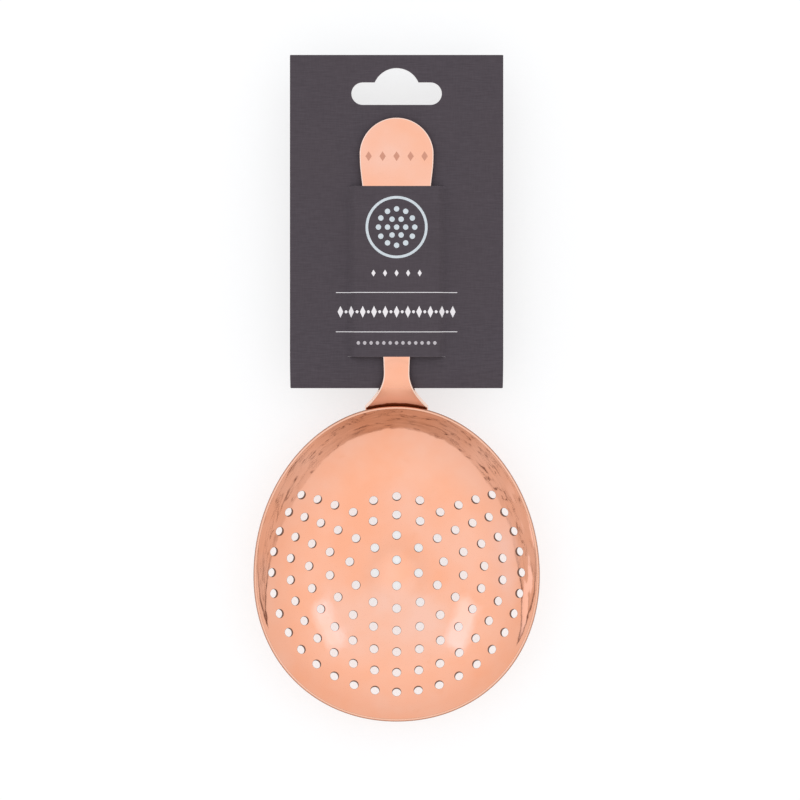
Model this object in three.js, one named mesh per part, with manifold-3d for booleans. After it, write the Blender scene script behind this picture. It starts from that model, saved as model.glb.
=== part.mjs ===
// Julep strainer on its hang card, in millimetres, +Z up.
//
// The strainer lies on its back with the rim of the bowl level and the hollow side up. The handle
// runs along +Y. It is two pieces of sheet metal: a perforated bowl, and a flat handle whose flared
// foot curves down behind the bowl's wall, where three spot welds hold it. The hang card is one
// piece of board with two slits. The strap between the slits passes over the handle and the rest of
// the card lies behind it, so the card slides along the handle and off its end.
//
// The origin is the middle of the whole object's footprint, at the height of the bowl's lowest point.

import * as THREE from "three";
import { mergeVertices } from "three/addons/utils/BufferGeometryUtils.js";
import Module from "manifold-3d";

const wasm = await Module();
wasm.setup();

// ---- Driving dimensions ------------------------------------------------------------------------

// The bowl's sheet, measured at its middle surface. Y is counted from the middle of the rim.
const BOWL = {
  halfWidth: 37.95, // half the rim's width where the egg outline is neither swollen nor narrowed
  halfLength: 41.95,
  egg: 0.066, // how much narrower the rim gets towards the handle, and wider away from it
  depth: 12.8, // rim to lowest point
  roundness: 0.86, // 0 is a shallow parabola, 1 is a wall that is vertical at the rim
  fullness: 2.05, // 2 is a true ellipse, more makes its shoulders fuller
  lowestY: 0,
  sheet: 1.0,
};

// The holes are punched in rings around the lowest point, 6 more in each ring.
const HOLES = {
  diameter: 2.4,
  rings: 6,
  firstRadius: 6.93,
  pitch: 6.1, // from ring to ring
  pitchLoss: 0.15, // drawing the wall steeper packs the outer rings closer, seen from above
  sag: 0.0023, // how far the outer rings are drawn towards the front, per mm of radius squared
  flatten: 3.2e-5, // how much shorter than wide the outer rings are, per mm squared
  openFrom: 4, // rings from this one on leave a gap on the handle's side
  lastAngle: [135, 132, 130], // half the angle that rings 4, 5 and 6 cover, in degrees
};

const HANDLE = {
  sheet: 1.2,
  riseOverRim: 3.8, // the handle's top face, above the top of the rim
  tipY: 118.45,
  paddleRadius: 9.86, // the rounded end
  shoulder: 2.4, // from the round end's centre to where the taper begins
  shoulderSoftness: 0.2,
  neckHalfWidth: 3.42,
  taperEndY: 55.2, // the straight taper from the paddle ends here, in a soft bend
  taperSoftness: 3,
  flareStartY: 51.1,
  flareLength: 9.2,
  flareGrowth: 5.0, // what the flare adds to each side where it meets the rim
  flarePower: 2.0,
  weldGap: 0.35, // between the bowl's wall and the foot, bridged by the welds
  footTop: 0.985, // where the bend ends and the foot begins, as a share of the way to the rim
  footDepth: 0.2, // how far the foot reaches down the wall, as a share of the same
  footCornerCut: 0.45, // how much of that the foot's outer corners lose
};

const WELD = {
  radius: 1.6,
  thickness: 0.2,
  spacing: 4.6,
  footShare: 0.5, // how far down the foot they are
};

const CARD = {
  width: 56.6,
  bottomY: 46.95,
  topY: 135.25,
  board: 0.5,
  gap: 0.25, // between the board and the handle, in front and behind
  slitWidth: 25.9,
  lowerSlitY: 55.1,
  upperSlitY: 100.4,
  slitGap: 0.25,
  strapFlatHalfWidth: 10.6, // the raised part of the strap that the paddle passes under
};

// The hanging hole: a slot with round ends and a round hump over its middle.
const PEG_SLOT = {
  width: 24.0,
  barHeight: 6.0,
  barBottomY: 122.0,
  humpWidth: 11.6,
  humpHeight: 3.8,
};

// ---- Values worked out from them ---------------------------------------------------------------

const RIM_SLOPE = slopeAtRim();
const RIM_TOP_Z =
  BOWL.sheet / 2 + BOWL.depth + (BOWL.sheet / 2) * Math.cos(RIM_SLOPE);
const HANDLE_TOP_Z = RIM_TOP_Z + HANDLE.riseOverRim;
const HANDLE_MID_Z = HANDLE_TOP_Z - HANDLE.sheet / 2;
const CARD_FRONT_Z = HANDLE_TOP_Z - HANDLE.sheet - CARD.gap;
const STRAP_BACK_Z = HANDLE_TOP_Z + CARD.gap;

const COPPER = { color: 0xf7b697, metalness: 1, roughness: 0.2 };

// ---- The bowl's surface ------------------------------------------------------------------------

// The wall's slope where the rim meets the long axis.
function slopeAtRim() {
  const step = 1e-4;
  const rise = bowlHeight(1) - bowlHeight(1 - step);
  return Math.atan2(rise, step * BOWL.halfLength);
}

// Height of the middle surface above its lowest point, for a share of the way out to the rim.
function bowlHeight(share) {
  const k = BOWL.roundness;
  const arc = (s) => 1 - Math.sqrt(1 - k * k * s * s);
  return (BOWL.depth * arc(share)) / arc(1);
}

// Half the rim's width where the egg outline is cut at a distance along it.
function rimHalfWidth(y) {
  return BOWL.halfWidth * (1 - (BOWL.egg * y) / BOWL.halfLength);
}

// A point of the rim's egg outline, by its angle.
function rimPoint(angle) {
  const rounded = (v) => Math.sign(v) * Math.abs(v) ** (2 / BOWL.fullness);
  const y = BOWL.halfLength * rounded(Math.sin(angle));
  return [rimHalfWidth(y) * rounded(Math.cos(angle)), y];
}

// How far out a point lies, from 0 at the lowest point to 1 at the rim.
function shareOfRim(x, y) {
  const dy = y - BOWL.lowestY;
  const inside = (scale) => {
    const px = x * scale;
    const py = BOWL.lowestY + dy * scale;
    const across = Math.abs(px / rimHalfWidth(py)) ** BOWL.fullness;
    const along = Math.abs(py / BOWL.halfLength) ** BOWL.fullness;
    return across + along < 1;
  };
  const distance = Math.hypot(x, dy);
  if (distance < 1e-6) return 0;
  let low = 0;
  let high = (2 * BOWL.halfLength) / distance;
  for (let i = 0; i < 50; i++) {
    const middle = (low + high) / 2;
    if (inside(middle)) low = middle;
    else high = middle;
  }
  return 1 / low;
}

// A point of the bowl's middle surface over x, y, and the unit normal there, towards the hollow side.
function bowlAt(x, y) {
  const z = (px, py) => BOWL.sheet / 2 + bowlHeight(shareOfRim(px, py));
  const h = 0.02;
  const normal = new THREE.Vector3(
    -(z(x + h, y) - z(x - h, y)) / (2 * h),
    -(z(x, y + h) - z(x, y - h)) / (2 * h),
    1,
  ).normalize();
  return { point: new THREE.Vector3(x, y, z(x, y)), normal };
}

// ---- Solids and meshes -------------------------------------------------------------------------

// A closed geometry as a manifold-3d solid.
function solidOf(geometry) {
  const bare = geometry.index ? geometry.toNonIndexed() : geometry.clone();
  bare.deleteAttribute("normal");
  bare.deleteAttribute("uv");
  const merged = mergeVertices(bare, 1e-4);
  return new wasm.Manifold(
    new wasm.Mesh({
      numProp: 3,
      vertProperties: merged.attributes.position.array,
      triVerts: new Uint32Array(merged.index.array),
    }),
  );
}

function geometryOf(solid) {
  const mesh = solid.getMesh();
  return new THREE.BufferGeometry()
    .setAttribute("position", new THREE.BufferAttribute(mesh.vertProperties, 3))
    .setIndex(new THREE.BufferAttribute(mesh.triVerts, 1));
}

function geometryFrom(points, triangles) {
  const flat = new Float32Array(points.flatMap((p) => [p.x, p.y, p.z]));
  return new THREE.BufferGeometry()
    .setAttribute("position", new THREE.BufferAttribute(flat, 3))
    .setIndex(triangles.flat());
}

// A sheet of even thickness around a grid of { point, normal }, as one closed geometry. The grid's
// rows run across and its columns along, so that across x along points the way of the normals.
function sheetOf(grid, thickness) {
  const columns = grid[0].length;
  const points = [];
  for (const side of [1, -1])
    for (const row of grid)
      for (const { point, normal } of row)
        points.push(
          point.clone().addScaledVector(normal, (side * thickness) / 2),
        );
  const last = grid.length - 1;
  const top = (i, j) => i * columns + j;
  const under = (i, j) => (grid.length + i) * columns + j;
  const triangles = [];
  const quad = (a, b, c, d) => triangles.push([a, b, c], [a, c, d]);
  for (let i = 0; i < last; i++)
    for (let j = 0; j < columns - 1; j++) {
      quad(top(i, j), top(i, j + 1), top(i + 1, j + 1), top(i + 1, j));
      quad(under(i, j), under(i + 1, j), under(i + 1, j + 1), under(i, j + 1));
    }
  for (let j = 0; j < columns - 1; j++) {
    quad(top(0, j), under(0, j), under(0, j + 1), top(0, j + 1));
    quad(
      top(last, j),
      top(last, j + 1),
      under(last, j + 1),
      under(last, j),
    );
  }
  for (let i = 0; i < last; i++) {
    const j = columns - 1;
    quad(top(i, 0), top(i + 1, 0), under(i + 1, 0), under(i, 0));
    quad(top(i, j), under(i, j), under(i + 1, j), top(i + 1, j));
  }
  return geometryFrom(points, triangles);
}

// A disc across a point of a surface, its flat faces square to the normal.
function discAt({ point, normal }, radius, thickness, sides) {
  const turn = new THREE.Quaternion().setFromUnitVectors(
    new THREE.Vector3(0, 1, 0),
    normal,
  );
  return new THREE.CylinderGeometry(radius, radius, thickness, sides)
    .applyQuaternion(turn)
    .translate(point.x, point.y, point.z);
}

// ---- The bowl ----------------------------------------------------------------------------------

// Where the holes are, seen from above.
function holePlaces() {
  const places = [[0, BOWL.lowestY]];
  for (let ring = 1; ring <= HOLES.rings; ring++) {
    const n = ring - 1;
    const radius =
      HOLES.firstRadius + HOLES.pitch * n - HOLES.pitchLoss * n * n;
    const step = 60 / ring;
    const cover =
      ring < HOLES.openFrom ? 180 : HOLES.lastAngle[ring - HOLES.openFrom];
    const most = Math.round(cover / step);
    const shorter = 1 - HOLES.flatten * radius * radius;
    for (let i = -most; i <= most; i++) {
      if (i === -most && cover === 180) continue; // the same hole as the last one
      const angle = THREE.MathUtils.degToRad(i * step - 90);
      places.push([
        radius * Math.cos(angle),
        BOWL.lowestY +
          radius * Math.sin(angle) * shorter -
          HOLES.sag * radius * radius,
      ]);
    }
  }
  return places;
}

function bowlBlank() {
  const around = 40;
  const out = 7;
  const points = [];
  const centre = bowlAt(0, BOWL.lowestY);
  const half = BOWL.sheet / 2;
  for (const side of [1, -1]) {
    points.push(centre.point.clone().addScaledVector(centre.normal, side * half));
    for (let i = 1; i <= out; i++)
      for (let j = 0; j < around; j++) {
        const [rx, ry] = rimPoint((j / around) * 2 * Math.PI);
        const share = i / out;
        const at = bowlAt(
          rx * share,
          BOWL.lowestY + (ry - BOWL.lowestY) * share,
        );
        points.push(at.point.clone().addScaledVector(at.normal, side * half));
      }
  }
  const perSide = 1 + out * around;
  const ring = (side, i, j) =>
    side * perSide + (i === 0 ? 0 : 1 + (i - 1) * around + (j % around));
  const triangles = [];
  for (let i = 0; i < out; i++)
    for (let j = 0; j < around; j++)
      for (const side of [0, 1]) {
        const a = ring(side, i, j);
        const b = ring(side, i, j + 1);
        const c = ring(side, i + 1, j + 1);
        const d = ring(side, i + 1, j);
        const faces = i === 0 ? [[a, d, c]] : [[a, d, c], [a, c, b]];
        for (const f of faces) triangles.push(side === 0 ? f : f.reverse());
      }
  for (let j = 0; j < around; j++) {
    const a = ring(0, out, j);
    const b = ring(0, out, j + 1);
    const c = ring(1, out, j + 1);
    const d = ring(1, out, j);
    triangles.push([a, d, c], [a, c, b]);
  }
  return geometryFrom(points, triangles);
}

function bowlGeometry() {
  const punchLength = 3;
  const punchSides = 8;
  let solid = solidOf(bowlBlank());
  for (const [x, y] of holePlaces()) {
    const punch = discAt(
      bowlAt(x, y),
      HOLES.diameter / 2,
      punchLength,
      punchSides,
    );
    solid = solid.subtract(solidOf(punch));
  }
  return geometryOf(solid);
}

// ---- The handle --------------------------------------------------------------------------------

// Half the handle's width at a distance along it.
function handleHalfWidth(y) {
  const H = HANDLE;
  const paddleY = H.tipY - H.paddleRadius;
  const shoulderY = paddleY - H.shoulder;
  const taper = (H.paddleRadius - H.neckHalfWidth) / (shoulderY - H.taperEndY);
  const along = y - H.taperEndY;
  const straight =
    H.neckHalfWidth +
    (taper * (along + Math.hypot(along, H.taperSoftness))) / 2;
  const over = straight - H.paddleRadius;
  const limited =
    H.paddleRadius + (over - Math.hypot(over, H.shoulderSoftness)) / 2;
  const flare = THREE.MathUtils.clamp((H.flareStartY - y) / H.flareLength, 0, 1);
  const body = limited + H.flareGrowth * flare ** H.flarePower;
  if (y < paddleY) return body;
  return Math.min(body, Math.sqrt(H.paddleRadius ** 2 - (y - paddleY) ** 2));
}

// The foot's middle surface: a point outside the bowl's wall, on the line from the lowest point
// at a plan angle, at a share of the way to the rim.
function footPoint(angle, share) {
  const direction = [Math.cos(angle), Math.sin(angle)];
  const reach = 1 / shareOfRim(direction[0], BOWL.lowestY + direction[1]);
  const x = direction[0] * reach * share;
  const y = BOWL.lowestY + direction[1] * reach * share;
  const { point, normal } = bowlAt(x, y);
  const away = BOWL.sheet / 2 + HANDLE.weldGap + HANDLE.sheet / 2;
  return point.addScaledVector(normal, -away);
}

// Finds where a rising function crosses zero between two values.
function crossing(f, low, high) {
  for (let i = 0; i < 50; i++) {
    const middle = (low + high) / 2;
    if (f(middle) < 0) low = middle;
    else high = middle;
  }
  return (low + high) / 2;
}

// The handle's middle line for one lateral place, from -1 at the left edge to 1 at the right. It
// runs from the tip along the flat, round the bend and down the outside of the bowl's wall.
function handleLine(side) {
  const H = HANDLE;
  const place = (y, z = HANDLE_MID_Z) =>
    new THREE.Vector3(side * handleHalfWidth(y), y, z);
  const line = [];

  // the paddle's round end
  const roundSteps = 9;
  const nearTip = 0.02;
  for (let i = 0; i <= roundSteps; i++) {
    const drop = 1 - Math.cos((i / roundSteps) * (Math.PI / 2));
    line.push(place(H.tipY - nearTip - (H.paddleRadius - nearTip) * drop));
  }

  // where the foot's line leaves the wall, and the corner where that line would meet the flat
  const lean = crossing(
    (a) => {
      const foot = footPoint(Math.PI / 2 - a, H.footTop);
      return foot.x - side * handleHalfWidth(foot.y);
    },
    -0.4,
    0.4,
  );
  const planAngle = Math.PI / 2 - lean;
  const footTop = footPoint(planAngle, H.footTop);
  const wall = footTop.clone().sub(footPoint(planAngle, H.footTop - 0.01));
  const toCorner = (HANDLE_MID_Z - footTop.z) / wall.z;
  const corner = footTop.clone().addScaledVector(wall, toCorner);
  const bendStartY = corner.y + corner.distanceTo(footTop);

  // the long taper, down to where the bend begins
  const taperTop = H.tipY - H.paddleRadius;
  const taperSteps = 8;
  for (let i = 1; i <= taperSteps; i++)
    line.push(place(taperTop + ((bendStartY - taperTop) * i) / taperSteps));

  // the bend, through the flare
  const bend = new THREE.QuadraticBezierCurve(
    new THREE.Vector2(bendStartY, HANDLE_MID_Z),
    new THREE.Vector2(corner.y, HANDLE_MID_Z),
    new THREE.Vector2(footTop.y, footTop.z),
  );
  const bendSteps = 9;
  for (let i = 1; i <= bendSteps; i++) {
    const { x: y, y: z } = bend.getPoint(i / bendSteps);
    line.push(place(y, z));
  }

  // the foot, down the outside of the wall to its rounded end
  const depth = H.footDepth * (1 - H.footCornerCut * side ** 4);
  const footSteps = 5;
  for (let i = 1; i <= footSteps; i++)
    line.push(footPoint(planAngle, H.footTop - (depth * i) / footSteps));
  return line;
}

function handleGeometry() {
  const across = 8;
  const lines = [];
  for (let j = 0; j <= across; j++) lines.push(handleLine((2 * j) / across - 1));
  const rows = lines[0].length;
  const at = (i, j) =>
    lines[THREE.MathUtils.clamp(j, 0, across)][
      THREE.MathUtils.clamp(i, 0, rows - 1)
    ];
  const grid = [];
  for (let i = 0; i < rows; i++) {
    const row = [];
    for (let j = 0; j <= across; j++) {
      const acrossWay = at(i, j + 1).clone().sub(at(i, j - 1));
      const alongWay = at(i - 1, j).clone().sub(at(i + 1, j));
      row.push({
        point: at(i, j),
        normal: acrossWay.cross(alongWay).normalize(),
      });
    }
    grid.unshift(row); // foot first, so that the columns run across and the rows towards the tip
  }
  return sheetOf(grid, HANDLE.sheet);
}

// ---- The welds ---------------------------------------------------------------------------------

// A spot weld between the wall and the foot, a plan distance to the side of the long axis.
function weldGeometry(offset) {
  const share = HANDLE.footTop - HANDLE.footDepth * WELD.footShare;
  const y = BOWL.halfLength * share;
  const { point, normal } = bowlAt(offset, y - Math.abs(offset) * 0.12);
  const away = BOWL.sheet / 2 + HANDLE.weldGap / 2;
  const sides = 16;
  return discAt(
    { point: point.addScaledVector(normal, -away), normal },
    WELD.radius,
    WELD.thickness,
    sides,
  );
}

// ---- The card ----------------------------------------------------------------------------------

function pegSlotPath() {
  const S = PEG_SLOT;
  const endRadius = S.barHeight / 2;
  const straight = S.width / 2 - endRadius;
  const middleY = S.barBottomY + endRadius;
  const barTopY = S.barBottomY + S.barHeight;
  const half = S.humpWidth / 2;
  const humpRadius =
    (half * half + S.humpHeight * S.humpHeight) / (2 * S.humpHeight);
  const humpCentreY = barTopY + S.humpHeight - humpRadius;
  const humpAngle = Math.asin(half / humpRadius);
  const path = new THREE.Path();
  path.moveTo(-straight, S.barBottomY);
  path.absarc(-straight, middleY, endRadius, -Math.PI / 2, Math.PI / 2, true);
  path.lineTo(-half, barTopY);
  path.absarc(
    0,
    humpCentreY,
    humpRadius,
    Math.PI / 2 + humpAngle,
    Math.PI / 2 - humpAngle,
    true,
  );
  path.lineTo(straight, barTopY);
  path.absarc(straight, middleY, endRadius, Math.PI / 2, -Math.PI / 2, true);
  path.closePath();
  return path;
}

function rectangle(left, bottom, right, top) {
  return new THREE.Shape([
    new THREE.Vector2(left, bottom),
    new THREE.Vector2(right, bottom),
    new THREE.Vector2(right, top),
    new THREE.Vector2(left, top),
  ]);
}

// The board seen from the side, as [y, z] of its middle: flat, and at its lower end curving down
// behind the bend of the handle.
function boardLine() {
  const behind = HANDLE.sheet / 2 + CARD.gap + CARD.board / 2;
  const handle = handleLine(0).filter((p) => p.y < CARD.lowerSlitY);
  const line = [[CARD.topY, HANDLE_MID_Z - behind]];
  for (let i = 0; i < handle.length - 1; i++) {
    const before = handle[Math.max(i - 1, 0)];
    const along = handle[i + 1].clone().sub(before).normalize();
    const y = handle[i].y - behind * along.z;
    const z = handle[i].z + behind * along.y;
    const [lastY, lastZ] = line[line.length - 1];
    if (y < CARD.bottomY) {
      const t = (lastY - CARD.bottomY) / (lastY - y);
      line.push([CARD.bottomY, lastZ + (z - lastZ) * t]);
      break;
    }
    line.push([y, z]);
  }
  return line;
}

// The board, with the peg slot and a window where the strap is.
function boardGeometry() {
  const half = CARD.width / 2;
  const slit = CARD.slitWidth / 2;
  const line = boardLine();
  const side = (sign) =>
    line.map(([y, z]) => new THREE.Vector2(y, z + (sign * CARD.board) / 2));
  const profile = new THREE.Shape([...side(-1), ...side(1).reverse()]);
  const blank = new THREE.ExtrudeGeometry(profile, {
    depth: CARD.width,
    bevelEnabled: false,
  })
    .applyMatrix4(
      new THREE.Matrix4().makeBasis(
        new THREE.Vector3(0, 1, 0),
        new THREE.Vector3(0, 0, 1),
        new THREE.Vector3(1, 0, 0),
      ),
    )
    .translate(-half, 0, 0);
  const window = rectangle(-slit, CARD.lowerSlitY, slit, CARD.upperSlitY);
  const punches = [new THREE.Shape(pegSlotPath().getPoints(10)), window];
  let board = solidOf(blank);
  for (const shape of punches) {
    const punch = new THREE.ExtrudeGeometry(shape, {
      depth: 3 * CARD.board,
      bevelEnabled: false,
    }).translate(0, 0, CARD_FRONT_Z - 2 * CARD.board);
    board = board.subtract(solidOf(punch));
  }
  return board;
}

// The strap's section: from the board at each slit end it rises in an S to pass over the handle.
function strapShape() {
  const slit = CARD.slitWidth / 2;
  const root = 0.4; // how far the strap runs into the board on each side
  const rise = STRAP_BACK_Z - (CARD_FRONT_Z - CARD.board);
  const steps = 6;
  const edge = [];
  for (let i = 0; i <= steps; i++) {
    const t = i / steps;
    const x = slit + (CARD.strapFlatHalfWidth - slit) * t;
    edge.push([x, rise * t * t * (3 - 2 * t)]);
  }
  const right = [[slit + root, 0], ...edge];
  const back = [...right, ...right.map(([x, z]) => [-x, z]).reverse()];
  const front = back.map(([x, z]) => [x, z + CARD.board]).reverse();
  return new THREE.Shape(
    [...back, ...front].map(([x, z]) => new THREE.Vector2(x, z)),
  );
}

function cardGeometry() {
  const length = CARD.upperSlitY - CARD.lowerSlitY - 2 * CARD.slitGap;
  const strap = new THREE.ExtrudeGeometry(strapShape(), {
    depth: length,
    bevelEnabled: false,
  })
    .rotateX(Math.PI / 2)
    .translate(
      0,
      CARD.upperSlitY - CARD.slitGap,
      CARD_FRONT_Z - CARD.board,
    );
  return geometryOf(boardGeometry().add(solidOf(strap)));
}

// ---- The object --------------------------------------------------------------------------------

function part(name, geometry, look) {
  const mesh = new THREE.Mesh(geometry, new THREE.MeshStandardMaterial(look));
  mesh.name = name;
  return mesh;
}

const strainer = new THREE.Group();
strainer.add(part("bowl", bowlGeometry(), COPPER));
strainer.add(part("handle", handleGeometry(), COPPER));
["left", "middle", "right"].forEach((name, i) => {
  const geometry = weldGeometry((i - 1) * WELD.spacing);
  const look = { color: 0xb9b4ae, metalness: 1, roughness: 0.5 };
  strainer.add(part(`weld_${name}`, geometry, look));
});

const card = new THREE.Group();
card.add(
  part("hang_card", cardGeometry(), {
    color: 0x4b464c,
    metalness: 0,
    roughness: 0.85,
  }),
);

const object = new THREE.Group();
object.add(strainer, card);
const { min, max } = new THREE.Box3().setFromObject(object);
object.position.set(0, -(min.y + max.y) / 2, -min.z);

export default object;
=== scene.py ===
"""A copper-coloured julep strainer on its hang card: fine surfaces, materials, light and camera.

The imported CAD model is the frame. The bowl, the handle and the card are rebuilt here on the same
driving dimensions, with rounded edges, exact normals and finer detail, and ride on the CAD bodies.
Lengths are in millimetres from the middle of the bowl's rim, until to_frame() turns them into the
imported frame's metres.
"""

import math

import bpy
import numpy as np
from mathutils.geometry import delaunay_2d_cdt
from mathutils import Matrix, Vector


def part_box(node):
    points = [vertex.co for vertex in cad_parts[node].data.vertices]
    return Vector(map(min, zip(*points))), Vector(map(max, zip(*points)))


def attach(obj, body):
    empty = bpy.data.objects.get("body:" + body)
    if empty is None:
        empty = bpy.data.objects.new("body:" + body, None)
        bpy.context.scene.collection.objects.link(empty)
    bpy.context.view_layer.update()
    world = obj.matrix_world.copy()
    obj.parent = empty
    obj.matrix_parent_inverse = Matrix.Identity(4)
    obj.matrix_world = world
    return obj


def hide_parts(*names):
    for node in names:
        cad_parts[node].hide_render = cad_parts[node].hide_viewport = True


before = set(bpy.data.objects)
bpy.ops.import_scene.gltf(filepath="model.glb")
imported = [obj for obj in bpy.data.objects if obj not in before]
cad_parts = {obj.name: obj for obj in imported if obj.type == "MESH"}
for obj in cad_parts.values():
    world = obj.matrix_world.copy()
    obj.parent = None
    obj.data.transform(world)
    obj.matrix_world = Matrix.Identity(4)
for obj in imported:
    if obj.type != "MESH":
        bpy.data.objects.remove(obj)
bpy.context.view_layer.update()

MM = 0.001

# ---- Dimensions, as in the CAD -----------------------------------------------------------------

HALF_WIDTH = 37.95
HALF_LENGTH = 41.95
EGG = 0.066
FULLNESS = 2.05
DEPTH = 12.8
ROUNDNESS = 0.86
LOWEST_Y = 0.0
BOWL_SHEET = 1.0
BOWL_EDGE = 0.42  # radius of the rounded rim

HOLE_DIAMETER = 2.4
HOLE_EDGE = 0.07
HOLE_FIRST_RADIUS = 6.93
HOLE_PITCH = 6.1
HOLE_PITCH_LOSS = 0.15
HOLE_SAG = 0.0023
HOLE_FLATTEN = 3.2e-5
HOLE_COVER = {1: 180, 2: 180, 3: 180, 4: 135, 5: 132, 6: 130}  # degrees each side of the front

HANDLE_SHEET = 1.2
HANDLE_EDGE = 0.3
TIP_Y = 118.45
PADDLE_RADIUS = 9.86
SHOULDER = 2.4
SHOULDER_SOFTNESS = 0.2
NECK_HALF_WIDTH = 3.42
TAPER_END_Y = 55.2
TAPER_SOFTNESS = 3.0
FLARE_START_Y = 51.1
FLARE_LENGTH = 9.2
FLARE_GROWTH = 5.0
FLARE_POWER = 2.0
WELD_GAP = 0.35
FOOT_TOP = 0.985
FOOT_DEPTH = 0.2
FOOT_CORNER_CUT = 0.45

CARD_HALF_WIDTH = 28.3
CARD_BOTTOM_Y = 46.95
CARD_TOP_Y = 135.25
BOARD = 0.5
BOARD_EDGE = 0.03
CARD_CORNER = 0.2
CARD_GAP = 0.25
SLIT_HALF_WIDTH = 12.95
SLIT_GAP = 0.25
SLIT_OPEN = 0.03  # the cut as it shows, inside the gap that the CAD leaves
STRAP_STRETCH = 0.12  # the raised strap's lower edge, towards the foot and past the cut
MARK_LIFT = 0.02
LOWER_SLIT_Y = 55.1
UPPER_SLIT_Y = 100.4
STRAP_FLAT_HALF_WIDTH = 10.6
FLANK_SHADING = 0.35

PEG_HALF_WIDTH = 12.0
PEG_BAR_HEIGHT = 6.0
PEG_BAR_BOTTOM_Y = 122.0
PEG_HUMP_HALF_WIDTH = 5.8
PEG_HUMP_HEIGHT = 3.8

# ---- Marks on the card's strap and on the paddle -----------------------------------------------

RULES_Y = (72.2, 61.8)
RULE_HALF_LENGTH = 16.1
RULE_HALF_HEIGHT = 0.09
WIDE_ROW_Y = 67.1
WIDE_ROW_HALF_LENGTH = 14.9
WIDE_ROW_COUNT = 11
SHORT_ROW_Y = 77.3
SHORT_ROW_HALF_LENGTH = 6.1
DOT_ROW_Y = 58.9
DOT_ROW_HALF_LENGTH = 10.1
DOT_ROW_COUNT = 13
EMBLEM_Y = 89.4
EMBLEM_BAND = (7.5, 8.2)  # inner and outer radius
EMBLEM_RINGS = ((0.0, 1), (2.4, 6), (4.8, 12))  # radius and number of dots
EMBLEM_DOT = 0.72
ENGRAVED_ROW_Y = 108.2
ENGRAVED_ROW_HALF_LENGTH = 7.4
ENGRAVING_LIFT = 0.012

# ---- The camera --------------------------------------------------------------------------------

CAMERA_X = 0.9
CAMERA_Y = 43.71
CAMERA_HEIGHT = 500.0  # above the rim
VIEW_WIDTH = 213.2  # what the square frame spans at the height of the rim

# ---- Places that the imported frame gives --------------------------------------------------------

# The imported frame's origin is the middle of the footprint, at the underside of the bowl.
SHIFT_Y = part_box("hang_card")[1][1] / MM - CARD_TOP_Y
HANDLE_TOP_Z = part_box("handle")[1][2] / MM
HANDLE_MID_Z = HANDLE_TOP_Z - HANDLE_SHEET / 2
BOARD_MID_Z = HANDLE_MID_Z - HANDLE_SHEET / 2 - CARD_GAP - BOARD / 2
STRAP_CLEARANCE = 0.01  # that keeps the print on the strap inside the CAD's box
STRAP_RISE = HANDLE_SHEET + 2 * CARD_GAP + BOARD - MARK_LIFT - STRAP_CLEARANCE
RIM_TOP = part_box("bowl")[1][2] / MM


def to_frame(points):
    """Millimetres from the middle of the rim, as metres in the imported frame."""
    return (np.asarray(points, float) + [0, SHIFT_Y, 0]) * MM


def unit(vectors):
    return vectors / np.linalg.norm(vectors, axis=-1, keepdims=True)


# ---- The bowl's middle surface -----------------------------------------------------------------


def bowl_height(share):
    """The wall's height at a share of the way out, a part of an ellipse."""

    def arc(s):
        return 1 - np.sqrt(1 - (ROUNDNESS * s) ** 2)

    return DEPTH * arc(share) / arc(1.0)


def rim_reach(direction_x, direction_y):
    """How far the rim is from the lowest point, along unit directions in plan."""
    halvings = 45
    low = np.zeros_like(direction_x)
    high = np.full_like(direction_x, 2 * HALF_LENGTH)
    for _ in range(halvings):
        middle = (low + high) / 2
        x = direction_x * middle
        y = LOWEST_Y + direction_y * middle
        half = HALF_WIDTH * (1 - EGG * y / HALF_LENGTH)
        within = np.abs(x / half) ** FULLNESS + np.abs(y / HALF_LENGTH) ** FULLNESS < 1
        low = np.where(within, middle, low)
        high = np.where(within, high, middle)
    return low


def share_of_rim(x, y):
    """How far out places are: 0 at the lowest point and 1 at the rim."""
    no_distance = 1e-9
    dy = y - LOWEST_Y
    distance = np.maximum(np.hypot(x, dy), no_distance)
    return distance / rim_reach(x / distance, dy / distance)


def bowl_surface(x, y):
    """Points and unit normals (towards the hollow side) of the middle surface over x, y."""
    x = np.asarray(x, float)
    y = np.asarray(y, float)
    # the underside of the bowl's lowest point is at a height of nothing
    middle_z = BOWL_SHEET / 2
    step = 0.02

    def z(px, py):
        return middle_z + bowl_height(share_of_rim(px, py))

    slope_x = (z(x + step, y) - z(x - step, y)) / (2 * step)
    slope_y = (z(x, y + step) - z(x, y - step)) / (2 * step)
    points = np.stack([x, y, z(x, y)], -1)
    normals = unit(np.stack([-slope_x, -slope_y, np.ones_like(x)], -1))
    return points, normals


# ---- Sheets with rounded edges -----------------------------------------------------------------


def mesh_object(name, points, faces, normals=None, material_index=None):
    mesh = bpy.data.meshes.new(name)
    mesh.from_pydata([tuple(p) for p in points], [], faces)
    mesh.shade_smooth()
    if material_index is not None:
        mesh.polygons.foreach_set("material_index", material_index)
    mesh.update()
    if normals is not None:
        mesh.normals_split_custom_set_from_vertices([tuple(n) for n in normals])
    obj = bpy.data.objects.new(name, mesh)
    bpy.context.scene.collection.objects.link(obj)
    return obj


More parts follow.
